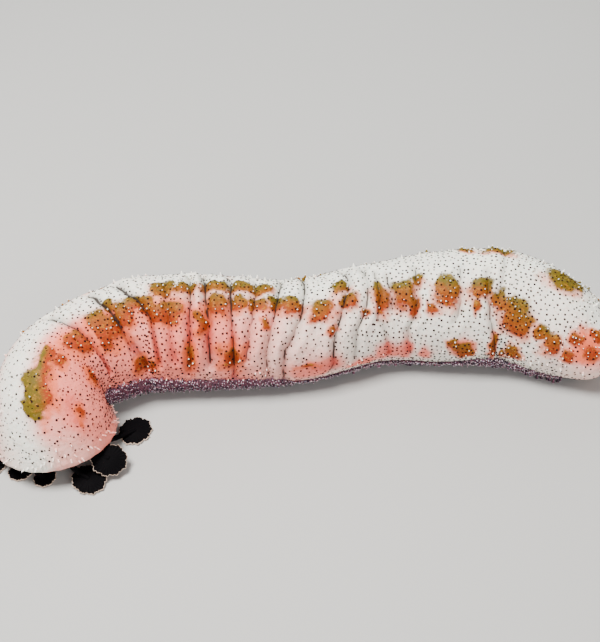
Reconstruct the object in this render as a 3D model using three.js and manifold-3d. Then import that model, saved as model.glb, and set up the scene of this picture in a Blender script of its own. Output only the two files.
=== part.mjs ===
// A living sea cucumber, life size, resting on the floor with its head turned down to feed.
// Millimetres, +Z up, +X towards the tail. The origin is under the middle of the whole animal.
import * as THREE from 'three';
import { mergeVertices } from 'three/addons/utils/BufferGeometryUtils.js';
import Module from 'manifold-3d';

const wasm = await Module();
wasm.setup();

// Driving dimensions.
const GAP = 0.3;              // between one node and the next
const SEGMENTS = 22;          // sides of the body's section
const RING_STEP = 10;         // between rings where the body is smooth
const ORIGIN = new THREE.Vector3(3.83, -27.4, 0);

// The body from the vent to the rim of the mouth. Each row is one section:
// x, y, z of its centre, half width, height of the back, depth of the belly,
// squareness of the belly, and how far the body points down there, in degrees.
const STATIONS = [
  [186, -18, 23, 4.5, 4.5, 4.5, 2.0, 0],
  [183.5, -17, 23, 12.5, 12, 12, 2.0, 0],
  [176, -13.5, 24, 21, 20.5, 19, 2.2, 0],
  [158, -1.8, 26, 28.5, 32, 26, 2.2, 0],
  [125, 14, 26, 33, 42, 27.5, 2.2, 0],
  [85, 15.7, 26, 33, 39, 27.5, 2.2, 0],
  [45, 12, 26, 29, 34, 27.5, 2.1, 0],
  [0, -1, 26, 30, 31, 27.5, 2.3, 0],
  [-45, -3, 26, 32, 36, 27.5, 2.6, 0],
  [-88, -4, 26, 33, 37, 27.5, 2.6, 0],
  [-108, -11.5, 26.5, 31, 35, 27.5, 2.6, 0],
  [-124, -21, 28, 30, 33, 28, 2.6, 0],
  [-134, -31, 29, 29, 33, 28, 2.6, 0],
  [-140.5, -42.5, 28.5, 29.5, 34, 24, 2.4, 5],
  [-142.5, -54, 26, 31.5, 35, 19, 2.2, 28],
  [-141.8, -62.5, 19, 33.5, 34, 15, 2.0, 56],
  [-139.4, -68.5, 9.5, 35.5, 32, 13, 2.0, 80],
];

// Where the body is divided, in millimetres from the vent.
const LENGTHS = { tail: 55, trunk_rear: 135, trunk_middle: 215, trunk_front: 285, neck: 335 };

// Extra rings where the tail rounds off to the vent.
const VENT_RINGS = [2, 4, 7, 11, 16, 23];

// Cross folds of the skin: distance from the vent and depth.
const FOLD_HALF_WIDTH = 3.2;
const FOLDS = [
  [74, 0.8], [82, 0.8], [131, 1.0], [148, 0.9], [158, 1.0], [171, 1.1], [182, 1.3], [200, 1.6],
  [211, 1.4], [225, 1.1], [236, 1.5], [250, 1.6], [260, 1.6], [276, 0.9], [292, 1.3], [310, 1.3],
  [335, 1.1],
];

// The mouth: a cup inside the rim, a disc in the cup, and a ring of lips on the disc.
const RIM_ROUND = 1.6;
const RIM_CREST_SCALE = 0.96;
const CUP_SCALE = 0.86;
const CUP_ROUND = 0.03;
const CUP_DEPTH = 7.5;
const DISC_INSET = 0.02;
const DISC_FACE_DEPTH = 3;
const LIP_RADIUS = 3.9;
const LIP_THICKNESS = 1.5;
const VENT_RADIUS = 3.1;
const VENT_THICKNESS = 1.1;

// Papillae: small pointed warts over the back and flanks.
const PAPILLA_ROW_STEP = 12;
const PAPILLA_HEIGHT = 3.2;
const PAPILLA_RADIUS = 1.5;
const PAPILLA_TIP_RADIUS = 0.25;
const PAPILLA_ROOT = 1.4;
const COLLAR_COUNT = 26;
const COLLAR_LENGTH = 3.6;
const COLLAR_SET_BACK = 2.4;
const CUT_MARGIN = 2.6;       // no papilla or tube foot stands closer to a division

// Tube feet: two rows of pegs along each edge of the sole.
const FOOT_SPACING = 7.6;
const FOOT_RADIUS = 1.2;
const FOOT_TOP = 4.6;
const FOOT_SPLAY = 1.7;
const FOOT_INSET = 2.2;
const FOOT_FROM = 26;
const FOOT_TO = 346;
const UPPER_FOOT_HEIGHT = 8;
const UPPER_FOOT_LENGTH = 2.6;
const UPPER_FOOT_DROOP = 0.45;

// Tentacles that reach the floor: place of the root round the disc in degrees, then the
// middle of the shield beside and ahead of the mouth, its radius, its tilt in degrees and
// how far it is held off the floor.
const OUTER_ROOTS = [24, 14.5];
const OUTER_TENTACLES = [
  [14, 25, 2.5, 6.4, 0, 0],
  [42, 13, 11.5, 6.4, 0, 0],
  [94, -9.6, 23.4, 9.3, 12, 0],
  [128, -23.2, 18.4, 9.6, 28, 3.4],
  [163, -43.7, -2.3, 9.8, 0, 0],
  [200, -31, -14.5, 5.2, 0, 0],
  [228, -20.2, -21, 5.2, 0, 0],
  [254, -8, -25.5, 5.2, 0, 0],
  [278, 4, -25.5, 5.4, 0, 0],
  [302, 18.5, -23.5, 6, 0, 0],
  [326, 34, -21, 6.6, 0, 0],
  [350, 37.2, -7.6, 6.2, 0, 0],
];
// Tentacles drawn in close to the mouth.
const INNER_ROOTS = [15.5, 8.6];
const INNER_COUNT = 12;
const INNER_SHIELD_RADIUS = 2.6;
const STALK_RADIUS = 2.2;
const STALK_TIP_RADIUS = 1.5;
const SHIELD_EDGE = 1.5;
const SHIELD_CROWN = 2.6;
const LOBE_DEPTH = 0.13;
const STALK_LOW = 4.6;        // how low a stalk drops before it turns outwards
const STALK_ARRIVE = 3.2;     // and how high above its shield it comes in
const STALK_SEAT = 1.6;
const INNER_REACH = 1.2;

const skin = new THREE.MeshStandardMaterial({ color: 0xe2b9ab, roughness: 0.55 });
const blackFlesh = new THREE.MeshStandardMaterial({ color: 0x0b0a0c, roughness: 0.45 });
const lipFlesh = new THREE.MeshStandardMaterial({ color: 0x5a4048, roughness: 0.5 });

const radians = THREE.MathUtils.degToRad;
const UP = new THREE.Vector3(0, 0, 1);

// A draw between 0 and 1 that is the same each time for the same two numbers.
function draw(index, salt) {
  const wave = Math.sin(index * 12.9898 + salt * 78.233) * 43758.5453;
  return wave - Math.floor(wave);
}

// The row of section values at a place between stations, on a smooth curve through them.
function stationAt(t) {
  const last = STATIONS.length - 1;
  const place = Math.min(Math.max(t, 0), last);
  const i = Math.min(Math.floor(place), last - 1);
  const f = place - i;
  return STATIONS[i].map((p1, k) => {
    const p2 = STATIONS[i + 1][k];
    const p0 = i > 0 ? STATIONS[i - 1][k] : 2 * p1 - p2;
    const p3 = i + 2 <= last ? STATIONS[i + 2][k] : 2 * p2 - p1;
    return 0.5 * (2 * p1 + (p2 - p0) * f + (2 * p0 - 5 * p1 + 4 * p2 - p3) * f * f
      + (3 * p1 - p0 - 3 * p2 + p3) * f * f * f);
  });
}

// Distance from the vent at each fine step along the stations.
const STEPS_PER_STATION = 50;
const DISTANCE = [0];
for (let i = 1; i <= (STATIONS.length - 1) * STEPS_PER_STATION; i += 1) {
  const a = stationAt((i - 1) / STEPS_PER_STATION);
  const b = stationAt(i / STEPS_PER_STATION);
  DISTANCE.push(DISTANCE[i - 1] + Math.hypot(b[0] - a[0], b[1] - a[1], b[2] - a[2]));
}
const BODY_LENGTH = DISTANCE[DISTANCE.length - 1];

function placeAt(distance) {
  const wanted = Math.min(Math.max(distance, 0), BODY_LENGTH);
  let i = DISTANCE.findIndex((d) => d >= wanted);
  i = Math.max(i, 1);
  const f = (wanted - DISTANCE[i - 1]) / (DISTANCE[i] - DISTANCE[i - 1]);
  return (i - 1 + f) / STEPS_PER_STATION;
}

// The section at a distance from the vent: its centre, and the directions along the body
// to the mouth, to the animal's right, and to its back.
function sectionAt(distance) {
  const t = placeAt(distance);
  const [x, y, z, halfWidth, back, belly, squareness, pitch] = stationAt(t);
  const before = stationAt(t - 0.001);
  const after = stationAt(t + 0.001);
  const heading = new THREE.Vector3(after[0] - before[0], after[1] - before[1], 0).normalize();
  const along = heading.multiplyScalar(Math.cos(radians(pitch)));
  along.z = -Math.sin(radians(pitch));
  const right = new THREE.Vector3().crossVectors(along, UP).normalize();
  const top = new THREE.Vector3().crossVectors(right, along);
  return { distance, centre: new THREE.Vector3(x, y, z), along, right, top, halfWidth, back, belly, squareness };
}

// How far the folds pull the skin in, deepest on the back and none on the sole.
function foldDepth(distance, angle) {
  const window = Math.min(Math.max(Math.sin(angle) * 1.2 + 0.75, 0), 1);
  let depth = 0;
  for (const [place, deep] of FOLDS) {
    const off = Math.abs(distance - place) / FOLD_HALF_WIDTH;
    if (off < 1) depth = Math.max(depth, deep * (1 - off));
  }
  return depth * window;
}

// A point of the skin, at an angle round the section from the animal's right over its back.
function skinPoint(section, angle) {
  const c = Math.cos(angle);
  const s = Math.sin(angle);
  let x = section.halfWidth * c;
  let y = section.back * s;
  if (s < 0) {
    const power = 2 / section.squareness;
    x = section.halfWidth * Math.sign(c) * Math.abs(c) ** power;
    y = -section.belly * Math.abs(s) ** power;
  }
  const radius = Math.hypot(x, y);
  const shrink = 1 - foldDepth(section.distance, angle) / radius;
  const point = section.centre.clone().addScaledVector(section.right, x * shrink);
  point.addScaledVector(section.top, y * shrink);
  point.z = Math.max(point.z, 0);
  return point;
}

function skinNormal(distance, angle) {
  const step = 0.02;
  const here = sectionAt(distance);
  const around = skinPoint(here, angle + step).sub(skinPoint(here, angle - step));
  const ahead = skinPoint(sectionAt(distance + 1), angle).sub(skinPoint(sectionAt(distance - 1), angle));
  return new THREE.Vector3().crossVectors(around, ahead).negate().normalize();
}

function ring(section, shift = 0) {
  const offset = section.along.clone().multiplyScalar(shift);
  return Array.from({ length: SEGMENTS }, (_, k) => {
    const point = skinPoint(section, -2 * Math.PI * k / SEGMENTS).add(offset);
    point.z = Math.max(point.z, 0);
    return point;
  });
}

// A closed geometry through rings of equal count, with a fan over each end.
function loft(rings) {
  const count = rings[0].length;
  const points = rings.flat();
  const centre = (list) => list.reduce((sum, p) => sum.add(p), new THREE.Vector3()).divideScalar(list.length);
  const faces = [];
  for (let r = 0; r + 1 < rings.length; r += 1) {
    for (let k = 0; k < count; k += 1) {
      const a = r * count + k;
      const b = r * count + (k + 1) % count;
      faces.push(a, b, b + count, a, b + count, a + count);
    }
  }
  const first = points.push(centre(rings[0])) - 1;
  const last = points.push(centre(rings[rings.length - 1])) - 1;
  const lastRing = (rings.length - 1) * count;
  for (let k = 0; k < count; k += 1) {
    const next = (k + 1) % count;
    faces.push(first, next, k);
    faces.push(last, lastRing + k, lastRing + next);
  }
  const geometry = new THREE.BufferGeometry();
  geometry.setAttribute('position', new THREE.Float32BufferAttribute(points.flatMap((p) => p.toArray()), 3));
  geometry.setIndex(faces);
  return geometry;
}

function solidOf(geometry) {
  const bare = geometry.clone();
  bare.deleteAttribute('normal');
  bare.deleteAttribute('uv');
  const merged = mergeVertices(bare, 1e-4);
  return new wasm.Manifold(new wasm.Mesh({
    numProp: 3,
    vertProperties: new Float32Array(merged.attributes.position.array),
    triVerts: new Uint32Array(merged.index.array),
  }));
}

function geometryOf(solid) {
  const mesh = solid.getMesh();
  const geometry = new THREE.BufferGeometry();
  geometry.setAttribute('position', new THREE.BufferAttribute(new Float32Array(mesh.vertProperties), 3));
  geometry.setIndex(Array.from(mesh.triVerts));
  return geometry;
}

// One closed body from a core and the pieces rooted in it: only the largest surface is kept.
function fuse(core, pieces) {
  const joined = wasm.Manifold.union([solidOf(core), ...pieces.map(solidOf)]);
  const bodies = joined.decompose();
  bodies.sort((a, b) => b.volume() - a.volume());
  return geometryOf(bodies[0]);
}

// A ring of points round an axis.
function circle(centre, axis, radius, sides, turn = 0) {
  const side = new THREE.Vector3().crossVectors(axis, Math.abs(axis.z) < 0.9 ? UP : new THREE.Vector3(1, 0, 0));
  side.normalize();
  const across = new THREE.Vector3().crossVectors(axis, side);
  return Array.from({ length: sides }, (_, k) => {
    const a = 2 * Math.PI * k / sides + turn;
    return centre.clone().addScaledVector(side, radius * Math.cos(a)).addScaledVector(across, radius * Math.sin(a));
  });
}

// A pointed wart: a cone of few sides whose root is sunk in what it grows from.
function papilla(foot, direction, radius, height, turn, sides = 4) {
  const sunk = foot.clone().addScaledVector(direction, -PAPILLA_ROOT);
  const tip = foot.clone().addScaledVector(direction, height);
  return loft([circle(sunk, direction, radius * 1.15, sides, turn), circle(tip, direction, PAPILLA_TIP_RADIUS, sides, turn)]);
}

function nearCut(distance) {
  return Object.values(LENGTHS).some((cut) => Math.abs(distance - cut) < CUT_MARGIN);
}

function papillaeOf(from, to) {
  const pieces = [];
  for (let row = 0; row * PAPILLA_ROW_STEP < to; row += 1) {
    const inRow = 4 + (row % 2);
    for (let k = 0; k < inRow; k += 1) {
      const distance = row * PAPILLA_ROW_STEP + 9 + 6 * (draw(row, k + 1) - 0.5);
      const angle = radians(8 + 164 * (k + 0.5 + 0.6 * (draw(row, k + 11) - 0.5)) / inRow);
      if (distance < from + CUT_MARGIN || distance > to - CUT_MARGIN) continue;
      const foot = skinPoint(sectionAt(distance), angle);
      const height = PAPILLA_HEIGHT * (0.75 + 0.5 * draw(row, k + 21));
      pieces.push(papilla(foot, skinNormal(distance, angle), PAPILLA_RADIUS, height, k));
    }
  }
  return pieces;
}

// The edge of the sole on one side, at a height above the floor.
function edgePoint(section, side, height) {
  const from = side > 0 ? 0 : Math.PI;
  for (let step = 0; step < 90; step += 1) {
    const point = skinPoint(section, from - side * radians(step));
    if (point.z <= height) return point;
  }
  return null;
}

function tubeFeetOf(from, to) {
  const pieces = [];
  for (const side of [1, -1]) {
    let last = null;
    let count = 0;
    for (let distance = FOOT_FROM; distance <= FOOT_TO; distance += 0.5) {
      const section = sectionAt(distance);
      const root = edgePoint(section, side, FOOT_TOP);
      if (last && root.distanceTo(last) < FOOT_SPACING) continue;
      last = root;
      if (distance < from || distance > to || nearCut(distance)) continue;
      const out = section.right.clone().multiplyScalar(side);
      const inside = root.clone().addScaledVector(out, -FOOT_INSET);
      inside.z += 1;
      const foot = root.clone().addScaledVector(out, FOOT_SPLAY * (0.7 + 0.6 * draw(distance, side)));
      foot.z = 0;
      pieces.push(loft([circle(foot, UP, FOOT_RADIUS, 5), circle(inside, UP, FOOT_RADIUS, 5)]));
      count += 1;
      if (count % 2 === 0) continue;
      const ahead = sectionAt(distance + FOOT_SPACING / 2 * (distance < 290 ? 1 : 0.6));
      if (nearCut(ahead.distance) || ahead.distance > to || ahead.distance > FOOT_TO) continue;
      const upperRoot = edgePoint(ahead, side, UPPER_FOOT_HEIGHT);
      const lean = ahead.right.clone().multiplyScalar(side).addScaledVector(UP, -UPPER_FOOT_DROOP).normalize();
      const start = upperRoot.clone().addScaledVector(lean, -2);
      const tip = upperRoot.clone().addScaledVector(lean, UPPER_FOOT_LENGTH * (0.8 + 0.4 * draw(distance, 5)));
      pieces.push(loft([circle(start, lean, FOOT_RADIUS, 5), circle(tip, lean, FOOT_RADIUS * 0.7, 5)]));
    }
  }
  return pieces;
}

// Rings from one division of the body to the next. The end rings lie in the plane of the cut.
function lengthRings(from, to) {
  const places = [...VENT_RINGS];
  for (const [place] of FOLDS) places.push(place - FOLD_HALF_WIDTH, place, place + FOLD_HALF_WIDTH);
  const inside = places.filter((p) => p > from + 1.5 && p < to - 1.5).sort((a, b) => a - b);
  const spaced = [];
  let last = from;
  for (const place of [...inside, to]) {
    const parts = Math.max(1, Math.ceil((place - last) / RING_STEP));
    for (let k = 1; k < parts; k += 1) spaced.push(last + (place - last) * k / parts);
    if (place < to && place - last > 0.8) spaced.push(place);
    last = place;
  }
  return spaced.map((place) => ring(sectionAt(place)));
}

function bodyLength(from, to) {
  const start = ring(sectionAt(from), from > 0 ? GAP / 2 : 0);
  const end = ring(sectionAt(to), -GAP / 2);
  const core = loft([start, ...lengthRings(from, to), end]);
  return fuse(core, [...papillaeOf(from, to), ...tubeFeetOf(from, to)]);
}

// The mouth's frame, at the middle of the rim.
const rimSection = sectionAt(BODY_LENGTH);
const MOUTH = rimSection.centre.clone().addScaledVector(rimSection.top, (rimSection.back - rimSection.belly) / 2);
const FORWARD = new THREE.Vector3(rimSection.along.x, rimSection.along.y, 0).normalize();

function mouthPoint(beside, ahead, out) {
  return MOUTH.clone().addScaledVector(rimSection.right, beside).addScaledVector(rimSection.top, ahead)
    .addScaledVector(rimSection.along, out);
}

// The rim's outline drawn in towards the mouth and set back along the body.
function rimRing(scale, out) {
  return ring(rimSection).map((point) => point.sub(MOUTH).multiplyScalar(scale).add(MOUTH)
    .addScaledVector(rimSection.along, out));
}

function collarPapillae() {
  return Array.from({ length: COLLAR_COUNT }, (_, k) => {
    const angle = 2 * Math.PI * (k + 0.4 * draw(k, 31)) / COLLAR_COUNT;
    const foot = skinPoint(sectionAt(BODY_LENGTH - COLLAR_SET_BACK - 2 * (k % 2)), angle);
    const outward = foot.clone().sub(MOUTH).projectOnPlane(rimSection.along).normalize();
    const behind = Math.sin(angle) < 0;
    const direction = outward.addScaledVector(rimSection.along, behind ? 0.5 : 0.12).normalize();
    const length = COLLAR_LENGTH * (behind ? 0.6 : 0.8 + 0.4 * draw(k, 32));
    return papilla(foot, direction, PAPILLA_RADIUS, length, k, 5);
  });
}

function head(from) {
  const start = ring(sectionAt(from), GAP / 2);
  const rounded = BODY_LENGTH - RIM_ROUND;
  const rings = [start, ...lengthRings(from, rounded), ring(sectionAt(rounded)),
    rimRing(RIM_CREST_SCALE, 0), rimRing(CUP_SCALE + CUP_ROUND, 0), rimRing(CUP_SCALE, -1),
    rimRing(CUP_SCALE - CUP_ROUND, -CUP_DEPTH)];
  return fuse(loft(rings), [...papillaeOf(from, BODY_LENGTH - 6), ...tubeFeetOf(from, BODY_LENGTH), ...collarPapillae()]);
}

function oralDisc() {
  const scale = CUP_SCALE - CUP_ROUND - DISC_INSET;
  return loft([rimRing(scale, -CUP_DEPTH + GAP), rimRing(scale, -DISC_FACE_DEPTH)]);
}

// A round ring with a flat back, lying on a face whose outward direction is given.
function lipRing(centre, outward, radius, thickness) {
  const profile = [];
  const arcSteps = 5;
  for (let k = 0; k <= arcSteps; k += 1) {
    const a = Math.PI * k / arcSteps;
    profile.push(new THREE.Vector2(radius + 0.45 * radius * Math.cos(a), thickness * Math.sin(a)));
  }
  profile.push(profile[0].clone());
  const geometry = new THREE.LatheGeometry(profile, 16);
  geometry.applyQuaternion(new THREE.Quaternion().setFromUnitVectors(new THREE.Vector3(0, 1, 0), outward));
  geometry.translate(centre.x, centre.y, centre.z);
  return geometryOf(solidOf(geometry));
}

// The leaf-like end of a tentacle: a lobed plate, flat below and slightly domed above.
function shield(centre, radius, tilt, lobes, turn) {
  const axis = new THREE.Vector3().crossVectors(UP, FORWARD).normalize();
  const turned = new THREE.Quaternion().setFromAxisAngle(axis, radians(tilt));
  const plate = (scale, height) => Array.from({ length: lobes * 2 }, (_, k) => {
    const a = Math.PI * k / lobes + turn;
    const r = radius * scale * (k % 2 === 0 ? 1 : 1 - LOBE_DEPTH) * (1 + 0.06 * Math.sin(2 * a));
    const point = new THREE.Vector3(r * Math.cos(a), r * Math.sin(a), height).applyQuaternion(turned).add(centre);
    point.z = Math.max(point.z, 0);
    return point;
  });
  return loft([plate(0.94, 0), plate(1, SHIELD_EDGE * 0.5), plate(0.9, SHIELD_EDGE), plate(0.3, SHIELD_CROWN)]);
}

function stalk(points, startAxis) {
  const curve = new THREE.CubicBezierCurve3(...points);
  const rings = [];
  const steps = 6;
  for (let k = 0; k <= steps; k += 1) {
    const f = k / steps;
    const axis = k === 0 ? startAxis : curve.getTangent(f);
    const radius = THREE.MathUtils.lerp(STALK_RADIUS, STALK_TIP_RADIUS, Math.min(1, f * 1.6));
    rings.push(circle(curve.getPoint(f), axis, radius, 6));
  }
  return loft(rings);
}

function outerTentacle([place, beside, ahead, radius, tilt, lift], index) {
  const root = mouthPoint(OUTER_ROOTS[0] * Math.cos(radians(place)), OUTER_ROOTS[1] * Math.sin(radians(place)),
    -DISC_FACE_DEPTH + GAP);
  const onFloor = MOUTH.clone().addScaledVector(rimSection.right, beside).addScaledVector(FORWARD, ahead);
  onFloor.z = radius * Math.sin(radians(tilt)) * 0.94 + lift;
  const top = onFloor.clone();
  top.z += STALK_SEAT;
  const drop = root.clone().addScaledVector(rimSection.along, root.z - STALK_LOW);
  const arrive = top.clone().lerp(root, 0.3);
  arrive.z = onFloor.z + STALK_ARRIVE;
  const arm = stalk([root, drop, arrive, top], rimSection.along);
  return fuse(shield(onFloor, radius, tilt, 8, index), [arm]);
}

function innerTentacle(index) {
  const even = 2 * Math.PI * (index + 0.5) / INNER_COUNT;
  const place = even + 0.2 * Math.sin(2 * even);
  const beside = INNER_ROOTS[0] * Math.cos(place);
  const ahead = INNER_ROOTS[1] * Math.sin(place);
  const root = mouthPoint(beside, ahead, -DISC_FACE_DEPTH + GAP);
  const reach = INNER_REACH * (1 + 1.3 * draw(index, 41));
  const end = mouthPoint(beside * 1.04, ahead * 1.08, reach);
  const arm = loft([circle(root, rimSection.along, STALK_RADIUS * 0.75, 6),
    circle(end.clone().addScaledVector(UP, 0.2), rimSection.along, STALK_TIP_RADIUS * 0.8, 6)]);
  end.z -= 1;
  return fuse(shield(end, INNER_SHIELD_RADIUS, 0, 5, index), [arm]);
}

const animal = new THREE.Group();
animal.position.copy(ORIGIN).negate();

function addNode(name, geometry, material) {
  const mesh = new THREE.Mesh(geometry, material);
  mesh.name = name;
  animal.add(mesh);
}

let from = 0;
for (const [name, to] of Object.entries(LENGTHS)) {
  addNode(name, bodyLength(from, to), skin);
  from = to;
}
addNode('head', head(from), skin);
addNode('oral_disc', oralDisc(), lipFlesh);
addNode('mouth_ring', lipRing(mouthPoint(0, 0, -DISC_FACE_DEPTH + GAP), rimSection.along, LIP_RADIUS, LIP_THICKNESS), lipFlesh);

const ventSection = sectionAt(0);
const ventOut = ventSection.along.clone().negate();
const ventPlace = ventSection.centre.clone().addScaledVector(ventOut, GAP);
addNode('vent_ring', lipRing(ventPlace, ventOut, VENT_RADIUS, VENT_THICKNESS), lipFlesh);

const tentacleName = (number) => `tentacle_${String(number).padStart(2, '0')}`;
OUTER_TENTACLES.forEach((row, index) => {
  addNode(tentacleName(index + 1), outerTentacle(row, index), blackFlesh);
});
for (let index = 0; index < INNER_COUNT; index += 1) {
  addNode(tentacleName(OUTER_TENTACLES.length + index + 1), innerTentacle(index), blackFlesh);
}

export default animal;
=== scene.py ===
import math

import bpy
import numpy as np
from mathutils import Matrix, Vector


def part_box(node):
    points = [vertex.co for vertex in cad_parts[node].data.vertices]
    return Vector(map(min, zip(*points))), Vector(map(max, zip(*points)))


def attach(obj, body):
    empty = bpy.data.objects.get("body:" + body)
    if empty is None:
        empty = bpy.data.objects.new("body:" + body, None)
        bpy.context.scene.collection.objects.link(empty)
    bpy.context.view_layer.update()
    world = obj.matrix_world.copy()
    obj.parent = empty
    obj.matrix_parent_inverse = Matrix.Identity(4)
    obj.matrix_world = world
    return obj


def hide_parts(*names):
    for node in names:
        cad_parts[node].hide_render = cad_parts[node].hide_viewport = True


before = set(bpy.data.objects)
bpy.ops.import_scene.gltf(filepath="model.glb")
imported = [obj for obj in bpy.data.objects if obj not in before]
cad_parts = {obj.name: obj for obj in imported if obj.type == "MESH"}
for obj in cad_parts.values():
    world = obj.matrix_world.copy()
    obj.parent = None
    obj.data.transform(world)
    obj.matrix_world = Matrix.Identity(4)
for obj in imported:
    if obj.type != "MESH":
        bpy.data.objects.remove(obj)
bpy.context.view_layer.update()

# Sizes are in millimetres, and become metres where a mesh is made.
MM = 0.001
ORIGIN = np.array([3.83, -27.4, 0.0])

# The body from the vent to the rim of the mouth, as the solids have it. Each row is one section:
# x, y, z of its centre, half width, height of the back, depth of the belly,
# squareness of the belly, and how far the body points down there, in degrees.
STATIONS = np.array([
    [186, -18, 23, 4.5, 4.5, 4.5, 2.0, 0],
    [183.5, -17, 23, 12.5, 12, 12, 2.0, 0],
    [176, -13.5, 24, 21, 20.5, 19, 2.2, 0],
    [158, -1.8, 26, 28.5, 32, 26, 2.2, 0],
    [125, 14, 26, 33, 42, 27.5, 2.2, 0],
    [85, 15.7, 26, 33, 39, 27.5, 2.2, 0],
    [45, 12, 26, 29, 34, 27.5, 2.1, 0],
    [0, -1, 26, 30, 31, 27.5, 2.3, 0],
    [-45, -3, 26, 32, 36, 27.5, 2.6, 0],
    [-88, -4, 26, 33, 37, 27.5, 2.6, 0],
    [-108, -11.5, 26.5, 31, 35, 27.5, 2.6, 0],
    [-124, -21, 28, 30, 33, 28, 2.6, 0],
    [-134, -31, 29, 29, 33, 28, 2.6, 0],
    [-140.5, -42.5, 28.5, 29.5, 34, 24, 2.4, 5],
    [-142.5, -54, 26, 31.5, 35, 19, 2.2, 28],
    [-141.8, -62.5, 19, 33.5, 34, 15, 2.0, 56],
    [-139.4, -68.5, 9.5, 35.5, 32, 13, 2.0, 80],
])

# The skin's mesh.
STEP_ALONG = 0.62
POINTS_ROUND = 216
SOLE_LIFT = 1.8

# Creases: depth, how dark the painted shade line in the crease is, and its path as distance from the vent
# in millimetres and degrees round from the animal's right side, over the back, to its left side.
CREASES = [
    (0.9, 0.7, [(84, 105), (84, 130), (81, 150), (77, 165), (69, 192)]),
    (0.7, 0.3, [(74, 60), (73, 100), (75, 128)]),
    (1.0, 0.7, [(127, 90), (127, 115), (129, 145), (134, 160), (131, 190)]),
    (0.9, 0.7, [(143.5, 96), (143.5, 136)]),
    (0.8, 0.5, [(101, 96), (101, 132), (104, 150)]),
    (0.9, 0.6, [(150, 85), (151, 120), (154, 145), (149, 160), (146, 190)]),
    (1.0, 0.8, [(155, 70), (156, 100), (161, 128), (170, 150), (172, 185)]),
    (1.3, 0.9, [(165, 60), (166, 90), (178, 130), (183, 150), (185, 196)]),
    (1.5, 1.0, [(190, 45), (192, 72), (197, 110), (202, 140), (207, 158), (209, 200)]),
    (1.3, 0.8, [(206, 50), (207, 72), (213, 128), (217, 165), (216, 190)]),
    (1.0, 0.6, [(222, 70), (223, 105), (225, 130), (228, 166)]),
    (1.4, 0.9, [(238, 45), (237, 90), (235, 150), (236, 186)]),
    (1.5, 1.0, [(254, 50), (252, 90), (249, 130), (249, 172)]),
    (1.5, 0.8, [(262, 60), (260, 100), (260, 140), (261, 178)]),
    (0.9, 0.4, [(276, 80), (272, 120), (270, 165)]),
    (1.4, 1.0, [(299, 55), (297, 88), (284, 125), (280, 168)]),
    (1.5, 1.0, [(315, 50), (313, 85), (309, 112), (306, 138), (300, 175)]),
    (1.4, 0.9, [(338, 60), (337, 85), (333, 135), (330, 165)]),
]
DEGREE_ROUND = 0.6  # millimetres of skin to one degree round the body

# Ochre blotches: distance from the vent, degrees round, half length along and half width round.
BLOTCHES = [
    (358, 98, 4, 5), (361, 96, 4.5, 6.5), (366, 89, 4.5, 8), (370, 83, 3, 5.5), (356, 113, 3, 4),
    (343, 120, 7, 8), (347, 113, 4, 5), (321, 107, 7, 8), (322, 127, 7, 8), (312, 121, 7, 9),
    (304, 110, 5, 8), (310, 96, 4, 4), (296, 105, 6, 7), (277, 119, 9, 6), (287, 111, 6, 7),
    (271, 115, 6, 7), (356, 152, 4, 5), (373, 122, 1.6, 1.8), (276, 90, 7, 6.5), (264, 89, 6.5, 6),
    (247, 87, 9, 6), (232, 85, 8, 6), (219, 84, 7, 6), (244, 109, 6, 6.5), (233, 107, 5, 5),
    (222, 107, 6, 5.5), (211, 105, 5, 5), (254, 128, 3, 5.5), (218, 130, 2.2, 2.6), (260, 164, 3.5, 7),
    (237, 162, 6, 7), (288, 172, 6, 4), (302, 168, 4, 5), (203, 105, 5, 6), (173, 93, 6, 6),
    (187, 115, 8, 7), (190, 123, 4, 4), (171, 115, 5.4, 5.6), (163, 135, 3, 3), (185, 140, 2.6, 3),
    (151, 117, 5, 12), (136, 120, 7.5, 10), (131, 134, 4, 5), (125, 108, 4, 5), (109, 118, 7, 9.5),
    (118, 136, 4, 3), (88, 121, 8.5, 6.5), (92, 137, 2.6, 3), (75, 132, 6.5, 7), (61, 139, 11, 10.5),
    (53, 149, 8, 8.5), (31, 156, 5.5, 7), (38, 149, 5, 4.5), (41, 80, 10, 9), (33, 74, 6, 7),
    (12, 116, 3.5, 5), (18, 136, 3.5, 5), (9, 147, 3.6, 8), (19, 162, 4, 5), (76, 70, 9, 5),
    (94, 65, 4, 4), (197, 180, 4, 2.6), (98, 180, 7, 6), (106, 172, 3, 4), (76, 175, 3.5, 7),
    (54, 180, 6, 4), (63, 184, 4, 3),
]
# On the far side blotches are drawn at random in two bands, one in each for every step along. A
# band has how far they may move along, then the ranges of degrees round, half length and width.
FAR_STEP = 17
FAR_SEED = 5
FAR_BANDS = [
    (4, (22, 38), (4, 9), (4, 8)),
    (6, (-12, 6), (3, 8), (3, 6)),
]
# Places where the skin is flushed red, given as the blotches are.
FLUSHES = [
    (191, 185, 12, 9), (168, 196, 10, 5), (148, 186, 12, 9), (134, 184, 5, 10), (121, 188, 5, 8),
    (76, 174, 4, 9), (11, 142, 8, 16), (98, 176, 9, 7), (356, 150, 8, 9), (372, 120, 5, 6),
    (260, 160, 6, 9), (237, 158, 8, 9),
]
# Swellings between the creases: distance from the vent, degrees round, radius and height.
SWELLINGS = [
    (171, 115, 6.5, 1.9), (190, 118, 8, 1.1), (151, 117, 6.5, 1.2), (136, 121, 7.5, 1.1),
    (109, 118, 8, 1.0), (88, 121, 8, 0.9), (60, 137, 12, 0.9), (41, 80, 11, 0.8), (203, 105, 6, 0.9),
    (125, 108, 5, 0.8), (245, 112, 7, 0.8), (276, 112, 8, 0.7), (322, 118, 10, 0.9),
    (343, 118, 9, 0.8), (364, 92, 9, 0.7),
]
# Roughness of the skin: height, size of its cells and which noise it is.
SKIN_NOISE = [(0.5, 16.0, 11), (0.28, 5.5, 12), (0.12, 2.2, 13)]

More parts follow.
